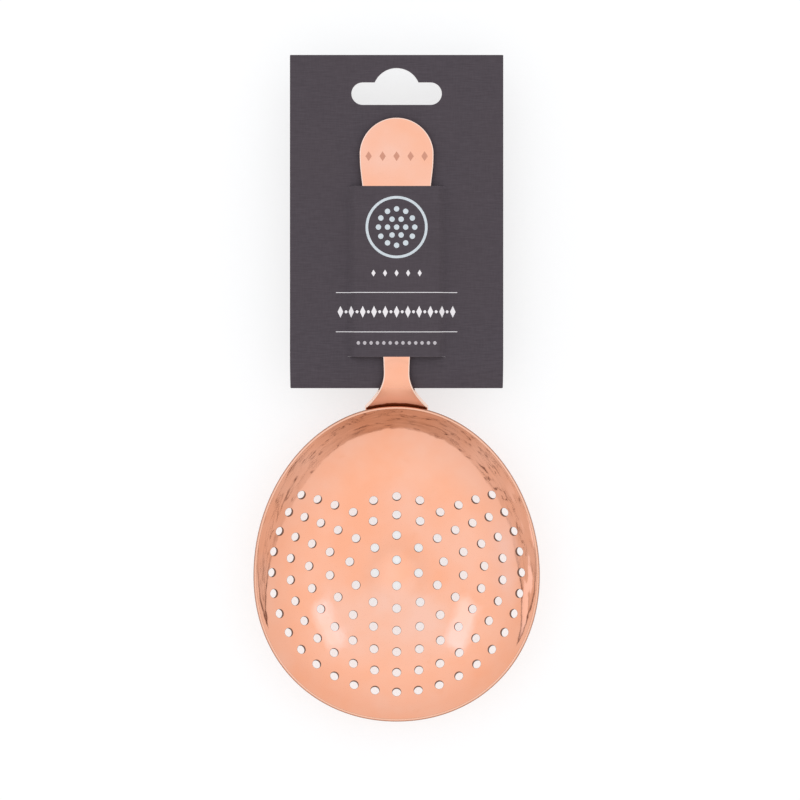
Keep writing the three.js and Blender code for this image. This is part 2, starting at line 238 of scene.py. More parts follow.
def sheet_mesh(name, points, normals, triangles, loops, thickness, steps=4):
    """A sheet of even thickness round a middle surface, with rounded edges and exact normals.

    Each loop is (indices, outward directions, edge radius, material number), and its points lie
    one edge radius inside the true edge. The two sides get material 0.
    """
    count = len(points)
    half = thickness / 2
    all_points = [points + normals * half, points - normals * half]
    all_normals = [normals, -normals]
    faces = [tuple(t) for t in triangles]
    faces += [tuple(i + count for i in reversed(t)) for t in triangles]
    material_index = [0] * len(faces)
    total = 2 * count
    for indices, outward, radius, material in loops:
        rings = [np.asarray(indices)]
        bend = [math.pi / 2 * (k + 1) / steps for k in range(steps)]
        levels = [(1, a) for a in bend] + [(-1, a) for a in reversed(bend)]
        for side, angle in levels:
            up = side * normals[indices]
            start = points[indices] + up * half
            drop = radius * (1 - math.cos(angle))
            all_points.append(start + outward * radius * math.sin(angle) - up * drop)
            all_normals.append(unit(outward * math.sin(angle) + up * math.cos(angle)))
            rings.append(np.arange(total, total + len(indices)))
            total += len(indices)
        rings.append(np.asarray(indices) + count)
        corners = np.concatenate(all_points)
        a, b, c = corners[rings[0][0]], corners[rings[0][1]], corners[rings[1][0]]
        forward = np.dot(np.cross(b - a, c - a), outward[0] + normals[indices[0]]) > 0
        for near, far in zip(rings, rings[1:]):
            near_next, far_next = np.roll(near, -1), np.roll(far, -1)
            for quad in zip(near, near_next, far_next, far):
                quad = tuple(int(i) for i in quad)
                faces.append(quad if forward else quad[::-1])
                material_index.append(material)
    return mesh_object(
        name,
        to_frame(np.concatenate(all_points)),
        faces,
        np.concatenate(all_normals),
        material_index,
    )


def inside(place, outline):
    """Whether a place lies inside a closed outline."""
    x, y = place
    x0, y0 = outline.T
    x1, y1 = np.roll(outline, -1, 0).T
    spans = (y0 > y) != (y1 > y)
    run = np.where(spans, y1 - y0, 1)
    return np.count_nonzero(spans & (x < x0 + (y - y0) / run * (x1 - x0))) % 2 == 1


def triangulate(points, loops):
    """Triangles of a flat region: inside the first loop and outside the others."""
    same_place = 1e-7
    no_area = 1e-9
    edges = [(int(a), int(b)) for loop in loops for a, b in zip(loop, np.roll(loop, -1))]
    result = delaunay_2d_cdt([tuple(p) for p in points], edges, [], 0, same_place)
    coordinates, faces, origin = result[0], result[2], result[3]
    member = np.full(len(points), -1)
    for number, loop in enumerate(loops):
        member[loop] = number
    triangles = []
    for face in faces:
        a, b, c = (origin[i][0] for i in face)
        (ax, ay), (bx, by), (cx, cy) = (coordinates[i] for i in face)
        area = (bx - ax) * (cy - ay) - (cx - ax) * (by - ay)
        if abs(area) < no_area:
            continue
        if member[a] == member[b] == member[c] >= 0:
            centre = ((ax + bx + cx) / 3, (ay + by + cy) / 3)
            if inside(centre, points[loops[member[a]]]) == (member[a] > 0):
                continue
        triangles.append((a, b, c) if area > 0 else (a, c, b))
    return triangles


def loop_outward(points, normals, loop, away_from):
    """Directions along the surface and square to a loop, on the side that away_from isn't."""
    ring = points[loop]
    along = np.roll(ring, -1, 0) - np.roll(ring, 1, 0)
    outward = unit(np.cross(along, normals[loop]))
    side = np.sum(outward * (ring - away_from), -1)
    return outward * np.sign(side)[:, None]


# ---- The bowl ----------------------------------------------------------------------------------


def hole_centres():
    """The middles of the holes in plan, ring by ring, with the outer rings open at the handle."""
    centres = [(0.0, LOWEST_Y)]
    for ring, cover in HOLE_COVER.items():
        n = ring - 1
        radius = HOLE_FIRST_RADIUS + HOLE_PITCH * n - HOLE_PITCH_LOSS * n * n
        step = 60 / ring
        most = round(cover / step)
        first = 1 - most if cover == 180 else -most
        for i in range(first, most + 1):
            angle = math.radians(i * step - 90)
            shorter = 1 - HOLE_FLATTEN * radius**2
            x = radius * math.cos(angle)
            y = LOWEST_Y + radius * math.sin(angle) * shorter - HOLE_SAG * radius**2
            centres.append((x, y))
    return np.array(centres)


def build_bowl():
    around_rim = 264
    ring_spacing = 1.0
    ring_turn = 0.3  # radians, so that the rings of points don't line up
    around_hole = 20
    hole_start = [0.36, 0.93, 0.0]  # a level direction, which no hole's axis is
    clearance = 0.35
    clear = HOLE_DIAMETER / 2 + HOLE_EDGE + clearance
    edge_in_plan = 0.73  # of its radius, on a wall that rises at about 43 degrees

    turn = np.arange(around_rim) / around_rim * 2 * math.pi
    ray = np.stack([np.cos(turn), np.sin(turn)], -1)
    reach = rim_reach(ray[:, 0], ray[:, 1])
    rim = ray * (reach - BOWL_EDGE * edge_in_plan)[:, None] + [0, LOWEST_Y]
    blocks = [rim]
    loops = [np.arange(around_rim)]
    total = around_rim

    centres = hole_centres()
    middles, axes = bowl_surface(centres[:, 0], centres[:, 1])
    hole_turn = np.arange(around_hole) / around_hole * 2 * math.pi
    for middle, axis in zip(middles, axes):
        across = unit(np.cross(axis, hole_start))
        up = np.cross(axis, across)
        spokes = np.cos(hole_turn)[:, None] * across + np.sin(hole_turn)[:, None] * up
        edge = middle + spokes * (HOLE_DIAMETER / 2 + HOLE_EDGE)
        blocks.append(edge[:, :2])
        loops.append(np.arange(total, total + around_hole))
        total += around_hole

    rings = int(HALF_LENGTH / ring_spacing)
    for i in range(1, rings):
        share = i / rings
        places = np.arange(6 * i) / (6 * i) * 2 * math.pi + ring_turn * i
        ring_ray = np.stack([np.cos(places), np.sin(places)], -1)
        ring_reach = rim_reach(ring_ray[:, 0], ring_ray[:, 1])[:, None]
        spots = ring_ray * ring_reach * share + [0, LOWEST_Y]
        gap = np.linalg.norm(spots[:, None] - centres[None], axis=-1).min(1)
        blocks.append(spots[gap > clear])

    plan = np.concatenate(blocks)
    points, normals = bowl_surface(plan[:, 0], plan[:, 1])
    triangles = triangulate(plan, loops)
    low = np.array([0, LOWEST_Y, 0])
    edges = [(loops[0], loop_outward(points, normals, loops[0], low), BOWL_EDGE, 1)]
    for loop, middle in zip(loops[1:], middles):
        inward = -loop_outward(points, normals, loop, middle)
        edges.append((loop, inward, HOLE_EDGE, 2))
    return sheet_mesh("strainer_bowl", points, normals, triangles, edges, BOWL_SHEET)


# ---- The handle --------------------------------------------------------------------------------


def handle_half_width(y, inset=0.0):
    """Half the handle's width: an even taper with soft ends, the flare and the round paddle."""
    paddle_y = TIP_Y - PADDLE_RADIUS
    taper = (PADDLE_RADIUS - NECK_HALF_WIDTH) / (paddle_y - SHOULDER - TAPER_END_Y)
    along = y - TAPER_END_Y
    straight = NECK_HALF_WIDTH + taper * (along + math.hypot(along, TAPER_SOFTNESS)) / 2
    over = straight - PADDLE_RADIUS
    limited = PADDLE_RADIUS + (over - math.hypot(over, SHOULDER_SOFTNESS)) / 2
    flare = min(max((FLARE_START_Y - y) / FLARE_LENGTH, 0), 1)
    body = limited + FLARE_GROWTH * flare**FLARE_POWER - inset
    if y < paddle_y:
        return body
    radius = PADDLE_RADIUS - inset
    return min(body, math.sqrt(max(radius**2 - (y - paddle_y) ** 2, 0)))


def foot_point(angle, share):
    """The foot's middle surface outside the wall, at a plan angle and a share of the way out."""
    reach = rim_reach(np.array(math.cos(angle)), np.array(math.sin(angle)))
    x = math.cos(angle) * reach * share
    y = LOWEST_Y + math.sin(angle) * reach * share
    point, normal = bowl_surface(x, y)
    return point - normal * (BOWL_SHEET / 2 + WELD_GAP + HANDLE_SHEET / 2)


def crossing(f, low, high):
    """Where a rising function passes through nothing."""
    halvings = 40
    for _ in range(halvings):
        middle = (low + high) / 2
        low, high = (middle, high) if f(middle) < 0 else (low, middle)
    return (low + high) / 2


def handle_line(side, inset):
    """The middle line from the tip to the foot's end, for one lateral place from -1 to 1."""
    round_steps = 40
    taper_steps = 60
    bend_steps = 36
    foot_steps = 16
    short_of_tip = 0.005  # so that the first row has a width
    widest_angle = 0.4  # radians from the middle, more than the foot takes
    corner_power = 4

    def place(y, z=HANDLE_MID_Z):
        return np.array([side * handle_half_width(y, inset), y, z])

    line = []
    tip_y = TIP_Y - inset - short_of_tip
    taper_top = TIP_Y - PADDLE_RADIUS
    for i in range(round_steps + 1):
        drop = 1 - math.cos(i / round_steps * math.pi / 2)
        line.append(place(tip_y - (tip_y - taper_top) * drop))

    def miss(a):
        foot = foot_point(math.pi / 2 - a, FOOT_TOP)
        return foot[0] - side * handle_half_width(foot[1], inset)

    angle = math.pi / 2 - crossing(miss, -widest_angle, widest_angle)
    foot_top = foot_point(angle, FOOT_TOP)
    little = 0.01
    wall = foot_top - foot_point(angle, FOOT_TOP - little)
    corner = foot_top + wall * (HANDLE_MID_Z - foot_top[2]) / wall[2]
    bend_start_y = corner[1] + np.linalg.norm(corner - foot_top)

    for i in range(1, taper_steps + 1):
        line.append(place(taper_top + (bend_start_y - taper_top) * i / taper_steps))
    for i in range(1, bend_steps + 1):
        t = i / bend_steps
        weights = np.array([(1 - t) ** 2, 2 * t * (1 - t), t * t])
        y = weights @ [bend_start_y, corner[1], foot_top[1]]
        z = weights @ [HANDLE_MID_Z, HANDLE_MID_Z, foot_top[2]]
        line.append(place(y, z))
    depth = FOOT_DEPTH * (1 - FOOT_CORNER_CUT * side**corner_power) - inset / HALF_LENGTH
    for i in range(1, foot_steps + 1):
        line.append(foot_point(angle, FOOT_TOP - depth * i / foot_steps))
    return line


def grid_triangles(rows, columns):
    triangles = []
    for i in range(rows - 1):
        for j in range(columns - 1):
            a, b = i * columns + j, i * columns + j + 1
            c, d = b + columns, a + columns
            triangles += [(a, d, c), (a, c, b)]
    return triangles


def build_handle():
    columns = 33
    sides = np.linspace(-1, 1, columns)
    lines = [handle_line(side, HANDLE_EDGE) for side in sides]
    grid = np.array(lines).transpose(1, 0, 2)
    rows = len(grid)
    across = np.gradient(grid, axis=1)
    along = -np.gradient(grid, axis=0)
    normals = unit(np.cross(across, along)).reshape(-1, 3)
    points = grid.reshape(-1, 3)
    index = np.arange(rows * columns).reshape(rows, columns)
    loop = np.concatenate(
        [index[0, :-1], index[:-1, -1], index[-1, :0:-1], index[:0:-1, 0]]
    )
    ring = points[loop]
    tangent = np.roll(ring, -1, 0) - np.roll(ring, 1, 0)
    outward = -unit(np.cross(tangent, normals[loop]))
    if np.dot(outward[columns // 2], [0, 1, 0]) < 0:
        outward = -outward
    triangles = grid_triangles(rows, columns)
    edges = [(loop, outward, HANDLE_EDGE, 1)]
    return sheet_mesh("strainer_handle", points, normals, triangles, edges, HANDLE_SHEET)


# ---- The card ----------------------------------------------------------------------------------


def bend_profile():
    """The middle of the board at its lower end, as (y, z) behind the bend of the handle."""
    behind = HANDLE_SHEET / 2 + CARD_GAP + BOARD / 2
    line = np.array([p for p in handle_line(0.0, 0.0) if p[1] < LOWER_SLIT_Y])[:, 1:]
    along = unit(np.gradient(line, axis=0))
    return line + behind * np.stack([-along[:, 1], along[:, 0]], -1)


CURL = bend_profile()[::-1]


def card_surface(x, y, on_strap):
    """Points and unit normals of the card's middle surface."""
    x = np.asarray(x, float)
    y = np.asarray(y, float)
    step = 0.05

    def raised(px):
        t = (SLIT_HALF_WIDTH - np.abs(px)) / (SLIT_HALF_WIDTH - STRAP_FLAT_HALF_WIDTH)
        t = np.clip(t, 0, 1)
        return on_strap * t * t * (3 - 2 * t)

    def z(px, py):
        base = np.interp(py, CURL[:, 0], CURL[:, 1], right=BOARD_MID_Z)
        return base + STRAP_RISE * raised(px)

    slope_x = (z(x + step, y) - z(x - step, y)) / (2 * step)
    slope_y = (z(x, y + step) - z(x, y - step)) / (2 * step)
    stretch = STRAP_STRETCH * raised(x) * (UPPER_SLIT_Y - y) / (UPPER_SLIT_Y - LOWER_SLIT_Y)
    points = np.stack([x, y - stretch, z(x, y)], -1)
    # the board's fibres catch light from all around, so its flanks are shaded as if they rose less
    return points, unit(np.stack([-slope_x * FLANK_SHADING, -slope_y, np.ones_like(x)], -1))


def between(start, end, spacing):
    """Evenly spaced points from start up to, not including, end."""
    start, end = np.array(start, float), np.array(end, float)
    steps = max(1, int(np.ceil(np.linalg.norm(end - start) / spacing)))
    return [start + (end - start) * i / steps for i in range(steps)]


def arc(centre, radius, first, last, steps):
    x, y = centre
    angles = np.radians(np.linspace(first, last, steps))
    return [np.array([x + radius * math.cos(a), y + radius * math.sin(a)]) for a in angles]


def card_outline():
    corner_steps = 6
    spacing = 1.5
    w, r = CARD_HALF_WIDTH - BOARD_EDGE, CARD_CORNER
    low, high = CARD_BOTTOM_Y + BOARD_EDGE, CARD_TOP_Y - BOARD_EDGE
    corners = [(w, low, -90), (w, high, 0), (-w, high, 90), (-w, low, 180)]
    path = []
    for number, (x, y, first) in enumerate(corners):
        centre = (x - math.copysign(r, x), y - math.copysign(r, y - (low + high) / 2))
        path += arc(centre, r, first, first + 90, corner_steps)[:-1]
        end = arc(centre, r, first + 90, first + 90, 1)[0]
        nx, ny, nfirst = corners[(number + 1) % 4]
        ncentre = (nx - math.copysign(r, nx), ny - math.copysign(r, ny - (low + high) / 2))
        start = arc(ncentre, r, nfirst, nfirst, 1)[0]
        path += between(end, start, spacing)
    return np.array(path)


def peg_outline():
    end_steps = 17
    hump_steps = 25
    grow = BOARD_EDGE
    radius = PEG_BAR_HEIGHT / 2
    straight = PEG_HALF_WIDTH - radius
    middle_y = PEG_BAR_BOTTOM_Y + radius
    bar_top = PEG_BAR_BOTTOM_Y + PEG_BAR_HEIGHT
    half, high = PEG_HUMP_HALF_WIDTH, PEG_HUMP_HEIGHT
    hump_radius = (half**2 + high**2) / (2 * high)
    hump_y = bar_top + high - hump_radius
    meet_y = bar_top + grow
    hump_angle = math.degrees(math.asin((meet_y - hump_y) / (hump_radius + grow)))
    path = arc((straight, middle_y), radius + grow, -90, 90, end_steps)
    path += arc((0, hump_y), hump_radius + grow, hump_angle, 180 - hump_angle, hump_steps)
    path += arc((-straight, middle_y), radius + grow, 90, 270, end_steps)
    return np.array(path)


def slit_outline(low_y):
    spacing = 0.4
    grow = BOARD_EDGE
    w = SLIT_HALF_WIDTH
    middle = low_y + SLIT_GAP / 2
    low, high = middle - SLIT_OPEN / 2 - grow, middle + SLIT_OPEN / 2 + grow
    path = between((-w, low), (w, low), spacing) + [np.array([w, low])]
    path += between((w, high), (-w, high), spacing) + [np.array([-w, high])]
    return np.array(path)


def build_card():
    flank_columns = 11
    sparse_x = [3.5, 7.0, 16.0, 20.0, 24.0, 27.5]
    first_row = 0.6  # from the lower edge to the first row of points
    from_edge = 0.5  # from the other edges and the cuts to the nearest row
    curl_end_y = 55
    curl_spacing = 0.5
    flat_start_y = 57
    flat_spacing = 1.5
    clear_of_cut = 0.45
    past_cut = 0.3
    past_peg = 0.4
    peg_middle_y = PEG_BAR_BOTTOM_Y + 5
    peg_reach = 6

    strap_top = UPPER_SLIT_Y - SLIT_GAP
    strap_bottom = LOWER_SLIT_Y + SLIT_GAP
    outlines = [
        card_outline(),
        peg_outline(),
        slit_outline(LOWER_SLIT_Y),
        slit_outline(strap_top),
    ]
    loops = []
    total = 0
    for outline in outlines:
        loops.append(np.arange(total, total + len(outline)))
        total += len(outline)

    flank = np.linspace(STRAP_FLAT_HALF_WIDTH, SLIT_HALF_WIDTH, flank_columns)
    half_x = np.concatenate([flank, sparse_x])
    grid_x = np.sort(np.concatenate([-half_x, [0.0], half_x]))
    curl_y = np.arange(CARD_BOTTOM_Y + first_row, curl_end_y, curl_spacing)
    flat_y = np.arange(flat_start_y, CARD_TOP_Y - from_edge, flat_spacing)
    rows_by_cuts = [
        strap_bottom + from_edge,
        strap_top - from_edge,
        LOWER_SLIT_Y - from_edge,
        UPPER_SLIT_Y + from_edge,
    ]
    grid_y = np.concatenate([curl_y, flat_y, rows_by_cuts])
    spots = np.array([(x, y) for y in grid_y for x in grid_x])
    off_x, spot_y = np.abs(spots[:, 0]), spots[:, 1]
    taken = (off_x < PEG_HALF_WIDTH + past_peg) & (np.abs(spot_y - peg_middle_y) < peg_reach)
    for slit_y in (LOWER_SLIT_Y, strap_top):
        off = np.abs(spot_y - slit_y - SLIT_GAP / 2)
        taken |= (off < clear_of_cut) & (off_x < SLIT_HALF_WIDTH + past_cut)
    spots = spots[~taken]
    plan = np.concatenate(outlines + [spots])

    middle_low = LOWER_SLIT_Y + SLIT_GAP / 2
    middle_high = strap_top + SLIT_GAP / 2
    on_strap = (plan[:, 1] > middle_low) & (plan[:, 1] < middle_high)
    points, normals = card_surface(plan[:, 0], plan[:, 1], on_strap)
    triangles = triangulate(plan, loops)
    card_middle_y = (CARD_BOTTOM_Y + CARD_TOP_Y) / 2
    in_peg_slot_y = PEG_BAR_BOTTOM_Y + PEG_BAR_HEIGHT / 2
    inner_places = (card_middle_y, in_peg_slot_y, middle_low, middle_high)
    flat = np.zeros((len(plan), 3))
    flat[:, :2] = plan
    up = np.tile([0.0, 0.0, 1.0], (len(plan), 1))
    edges = []
    for loop, place_y, sign in zip(loops, inner_places, (1, -1, -1, -1)):
        outward = sign * loop_outward(flat, up, loop, np.array([0, place_y, 0]))
        # along the surface, so square to its normal
        tilt = np.sum(outward * normals[loop], -1, keepdims=True)
        edges.append((loop, unit(outward - normals[loop] * tilt), BOARD_EDGE, 1))
    return sheet_mesh("card_board", points, normals, triangles, edges, BOARD, steps=1)


# ---- Marks -------------------------------------------------------------------------------------


def lozenge(x, y, half_width, half_height):
    return [(x - half_width, y), (x, y - half_height), (x + half_width, y), (x, y + half_height)]


def dot(x, y, radius, steps=16):
    return [tuple(p) for p in arc((x, y), radius, 0, 360 - 360 / steps, steps)]


def printed(name, polygons, surface, lift):
    """Flat marks laid on a surface, a little above it."""
    points, faces = [], []
    for polygon in polygons:
        start = len(points)
        points += polygon
        faces.append(tuple(range(start, start + len(polygon))))
    plan = np.array(points)
    where, normals = surface(plan[:, 0], plan[:, 1])
    return mesh_object(name, to_frame(where + normals * lift), faces, normals)


def strap_front(x, y):
    """The front of the card, with its raised strap."""
    on_strap = (np.abs(x) < SLIT_HALF_WIDTH) & (y > LOWER_SLIT_Y) & (y < UPPER_SLIT_Y)
    points, normals = card_surface(x, y, on_strap)
    return points + normals * BOARD / 2, normals


def handle_front(x, y):
    top = np.stack([x, y, np.full_like(x, HANDLE_TOP_Z)], -1)
    return top, np.tile([0.0, 0.0, 1.0], (len(x), 1))


def bar(x, y, half_length, half_height):
    left, right = x - half_length, x + half_length
    low, high = y - half_height, y + half_height
    return [(left, low), (right, low), (right, high), (left, high)]


def strips(outlines):
    """Convex outlines cut into upright strips, so that they can follow a curved surface."""
    widest = 0.25
    upright = 1e-6
    off_corner = 0.002
    pieces = []
    for outline in outlines:
        start = np.array(outline)
        run, rise = (np.roll(start, -1, 0) - start).T
        slanted = np.abs(run) > upright
        start, run, rise = start[slanted], run[slanted], rise[slanted]
        left = start[:, 0].min() + off_corner
        right = (start[:, 0] + run).max() - off_corner
        halves = math.ceil((right - left) / widest / 2)
        sides = []
        for x in np.linspace(left, right, 2 * halves + 1):
            share = (x - start[:, 0]) / run
            crossed = (share >= 0) & (share <= 1)
            y = (start[:, 1] + share * rise)[crossed]
            sides.append(((x, y.min()), (x, y.max())))
        for (a, d), (b, c) in zip(sides, sides[1:]):
            pieces.append([a, b, c, d])
    return pieces


def ring_band(x, y, inner, outer, steps=64):
    """A ring of four-sided pieces."""
    near, far = dot(x, y, inner, steps), dot(x, y, outer, steps)
    return [
        [near[i], far[i], far[(i + 1) % steps], near[(i + 1) % steps]] for i in range(steps)
    ]


def row(half_length, count):
    """Evenly spaced places from one end of a row to the other."""
    return np.linspace(-half_length, half_length, count)


def build_marks():
    between_lozenges = WIDE_ROW_HALF_LENGTH * (1 - 1 / (WIDE_ROW_COUNT - 1))
    ink = [bar(0, y, RULE_HALF_LENGTH, RULE_HALF_HEIGHT) for y in RULES_Y]
    ink += [lozenge(x, SHORT_ROW_Y, 0.55, 0.9) for x in row(SHORT_ROW_HALF_LENGTH, 5)]
    ink += [
        lozenge(x, WIDE_ROW_Y, 0.75, 1.55) for x in row(WIDE_ROW_HALF_LENGTH, WIDE_ROW_COUNT)
    ]
    ink += [dot(x, WIDE_ROW_Y, 0.42) for x in row(between_lozenges, WIDE_ROW_COUNT - 1)]
    small_ink = [dot(x, DOT_ROW_Y, 0.5) for x in row(DOT_ROW_HALF_LENGTH, DOT_ROW_COUNT)]
    foil = ring_band(0, EMBLEM_Y, *EMBLEM_BAND)
    for radius, count in EMBLEM_RINGS:
        for i in range(count):
            angle = 2 * math.pi * i / count
            x, y = radius * math.cos(angle), EMBLEM_Y + radius * math.sin(angle)
            foil.append(dot(x, y, EMBLEM_DOT))
    engraved = [
        lozenge(x, ENGRAVED_ROW_Y, 0.85, 1.3) for x in row(ENGRAVED_ROW_HALF_LENGTH, 5)
    ]
    return (
        printed("card_print", strips(ink), strap_front, MARK_LIFT),
        printed("card_small_print", strips(small_ink), strap_front, MARK_LIFT),
        printed("card_foil", foil, strap_front, MARK_LIFT),
        printed("handle_engraving", engraved, handle_front, ENGRAVING_LIFT),
    )


# ---- Materials ---------------------------------------------------------------------------------


class Nodes:
    """A short way to write a node tree."""

    def __init__(self, tree):
        self.tree = tree

    def add(self, kind, inputs=None, **settings):
        node = self.tree.nodes.new(kind)
        for key, value in settings.items():
            setattr(node, key, value)
        for key, value in (inputs or {}).items():
            self.put(node.inputs[key], value)
        return node

    def put(self, socket, value):
        if isinstance(value, bpy.types.NodeSocket):
            self.tree.links.new(value, socket)
        else:
            socket.default_value = value

    def math(self, operation, a, b=0.0):
        return self.add("ShaderNodeMath", {0: a, 1: b}, operation=operation).outputs[0]

    def product(self, first, *others):
        for other in others:
            first = self.math("MULTIPLY", first, other)
        return first

    def line(self, value, slope, start):
        inputs = {0: value, 1: slope, 2: start}
        return self.add("ShaderNodeMath", inputs, operation="MULTIPLY_ADD").outputs[0]

    def away_from(self, value, middle):
        return self.math("ABSOLUTE", self.math("SUBTRACT", value, middle))

    def noise(self, vector, scale, detail=2.0, roughness=0.5, distortion=0.0):
        inputs = {
            "Vector": vector,
            "Scale": scale,
            "Detail": detail,
            "Roughness": roughness,
            "Distortion": distortion,
        }
        return self.add("ShaderNodeTexNoise", inputs).outputs[0]

    def scaled(self, vector, factors):
        node = self.add("ShaderNodeVectorMath", {0: vector, 1: factors}, operation="MULTIPLY")
        return node.outputs[0]

    def ramp(self, value, stops):
        node = self.add("ShaderNodeValToRGB", {"Fac": value})
        elements = node.color_ramp.elements
        while len(elements) < len(stops):
            elements.new(0.5)
        for element, (position, color) in zip(elements, stops):
            element.position = position
            element.color = (*color, 1)
        return node.outputs["Color"]

    def mix(self, factor, a, b):
        node = self.add("ShaderNodeMix", data_type="RGBA")
        self.put(node.inputs["Factor"], factor)
        self.put(node.inputs[6], a)
        self.put(node.inputs[7], b)
        return node.outputs[2]

    def between(self, value, low, high, to_low, to_high):
        inputs = {0: value, 1: low, 2: high, 3: to_low, 4: to_high}
        return self.add("ShaderNodeMapRange", inputs).outputs[0]

    def bump(self, height, distance, strength=1.0, normal=None):
        inputs = {"Height": height, "Distance": distance, "Strength": strength}
        node = self.add("ShaderNodeBump", inputs)
        if normal is not None:
            self.put(node.inputs["Normal"], normal)
        return node.outputs["Normal"]


def new_material(name):
    material = bpy.data.materials.new(name)
    material.use_nodes = True
    material.node_tree.nodes.clear()
    nodes = Nodes(material.node_tree)
    shader = nodes.add("ShaderNodeBsdfPrincipled")
    output = nodes.add("ShaderNodeOutputMaterial")
    nodes.put(output.inputs["Surface"], shader.outputs["BSDF"])
    place = nodes.add("ShaderNodeTexCoord").outputs["Object"]
    return material, nodes, shader, place


def copper_material(name, crease_shade_low=None, crease_shade_high=None):
    """Polished copper plate: slight drift of tone, polishing hairlines and a faint waviness.

    Where heights are given, in metres, the plate below them is darkened as painted shade of the
    crease where the foot passes under the rim, and left duller for a few millimetres above.
    """
    material, nodes, shader, place = new_material(name)
    drift = nodes.between(nodes.noise(place, 60, 3, 0.55), 0.35, 0.65, 0, 1)
    color = nodes.mix(drift, (0.99, 0.47, 0.3, 1), (0.975, 0.53, 0.385, 1))
    stain = nodes.between(nodes.noise(place, 190, 4, 0.6), 0.62, 0.8, 0, 0.35)
    color = nodes.mix(stain, color, (0.9, 0.42, 0.26, 1))
    hair = nodes.noise(nodes.scaled(place, (5200, 260, 5200)), 1.0, 3, 0.6)
    cloud = nodes.noise(place, 140, 2, 0.5)
    uneven = nodes.product(nodes.math("ADD", hair, cloud), 0.5)
    rough = nodes.between(uneven, 0.3, 0.7, 0.035, 0.07)
    if crease_shade_low is not None:
        height = nodes.add("ShaderNodeSeparateXYZ", {0: place}).outputs[2]
        height = nodes.math("ADD", height, nodes.product(nodes.noise(place, 900, 3, 0.6), 0.4 * MM))
        # painted shade: the dark crease where the handle's foot passes under the bowl's rim
        crease_shade = nodes.between(height, crease_shade_low, crease_shade_high, 1, 0)
        color = nodes.mix(crease_shade, color, (0.3, 0.055, 0.014, 1))
        rough = nodes.math("ADD", rough, nodes.product(crease_shade, 0.2))
        dull = nodes.between(height, crease_shade_high + MM, crease_shade_high + 3.5 * MM, 0.48, 0)
        rough = nodes.math("ADD", rough, dull)
    nodes.put(shader.inputs["Base Color"], color)
    shader.inputs["Metallic"].default_value = 1.0
    nodes.put(shader.inputs["Roughness"], rough)
    normal = nodes.bump(nodes.noise(place, 85, 1, 0.4), 0.0001)
    normal = nodes.bump(nodes.noise(place, 420, 1, 0.4), 0.000014, 1.0, normal)
    normal = nodes.bump(hair, 0.000001, 1.0, normal)
    nodes.put(shader.inputs["Normal"], normal)
    return material


def cut_copper_material(name, lit_tone, shaded_tone, rough, turn):
    """Copper on a sheared or punched edge: a little duller, with painted shade where it turns down.

    turn is how far its normal still points up where it is quite dark and where it is quite bright.
    """
    material, nodes, shader, place = new_material(name)
    facing = nodes.add("ShaderNodeTexCoord").outputs["Normal"]
    up = nodes.add("ShaderNodeSeparateXYZ", {0: facing}).outputs[2]
    grain = nodes.noise(place, 2400, 3, 0.6)
    turned = nodes.math("ADD", up, nodes.line(grain, 0.3, -0.15))
    # painted shade: the shaded tone where the normal turns down, the lit tone where it faces up
    color = nodes.mix(nodes.between(turned, *turn, 0, 1), shaded_tone, lit_tone)
    nodes.put(shader.inputs["Base Color"], color)
    shader.inputs["Metallic"].default_value = 1.0
    nodes.put(shader.inputs["Roughness"], nodes.between(grain, 0.3, 0.7, *rough))
    nodes.put(shader.inputs["Normal"], nodes.bump(grain, 0.000006))
    return material


def engraving_material():
    """Copper roughened by the engraver."""
    material, nodes, shader, place = new_material("engraved_copper")
    grain = nodes.noise(place, 2600, 3, 0.6)
    color = nodes.mix(grain, (0.6, 0.29, 0.2, 1), (0.74, 0.36, 0.25, 1))
    nodes.put(shader.inputs["Base Color"], color)
    shader.inputs["Metallic"].default_value = 1.0
    nodes.put(shader.inputs["Roughness"], nodes.between(grain, 0.3, 0.7, 0.38, 0.52))
    nodes.put(shader.inputs["Normal"], nodes.bump(grain, 0.00001))
    return material


def weld_material():
    """Grainy grey metal."""
    material, nodes, shader, place = new_material("weld_metal")
    grain = nodes.noise(place, 1800, 4, 0.6)
    color = nodes.mix(grain, (0.34, 0.29, 0.25, 1), (0.62, 0.58, 0.53, 1))
    nodes.put(shader.inputs["Base Color"], color)
    shader.inputs["Metallic"].default_value = 1.0
    nodes.put(shader.inputs["Roughness"], nodes.between(grain, 0.2, 0.8, 0.4, 0.65))
    nodes.put(shader.inputs["Normal"], nodes.bump(grain, 0.00002))
    return material


def board_material():
    """Charcoal card stock: a fine laid texture of level lines, fibres and a soft drift of tone."""
    material, nodes, shader, place = new_material("card_stock")
    laid = nodes.noise(nodes.scaled(place, (300, 3300, 300)), 1.0, 3, 0.6)
    cross = nodes.noise(nodes.scaled(place, (2600, 420, 300)), 1.0, 2, 0.5)
    drift = nodes.noise(place, 45, 2, 0.5)
    weave = nodes.math("ADD", nodes.product(laid, 0.7), nodes.product(cross, 0.3))
    light_fibre = nodes.between(weave, 0.32, 0.68, 0, 1)
    color = nodes.mix(light_fibre, (0.07, 0.059, 0.07, 1), (0.096, 0.082, 0.096, 1))
    color = nodes.mix(nodes.between(drift, 0.3, 0.7, 0, 0.3), color, (0.09, 0.073, 0.082, 1))
    nodes.put(shader.inputs["Base Color"], color)
    nodes.put(shader.inputs["Roughness"], nodes.between(weave, 0.3, 0.7, 0.78, 0.9))
    shader.inputs["Specular IOR Level"].default_value = 0.12
    nodes.put(shader.inputs["Normal"], nodes.bump(weave, 0.00003, 0.6))
    return material


def board_edge_material():
    """The paler, fibrous core of the board, where it is cut."""
    material, nodes, shader, place = new_material("card_cut_edge")
    fibre = nodes.noise(nodes.scaled(place, (2500, 2500, 6000)), 1.0, 3, 0.6)
    color = nodes.mix(fibre, (0.13, 0.11, 0.125, 1), (0.27, 0.24, 0.26, 1))
    nodes.put(shader.inputs["Base Color"], color)
    nodes.put(shader.inputs["Roughness"], nodes.between(fibre, 0.3, 0.7, 0.85, 0.95))
    return material


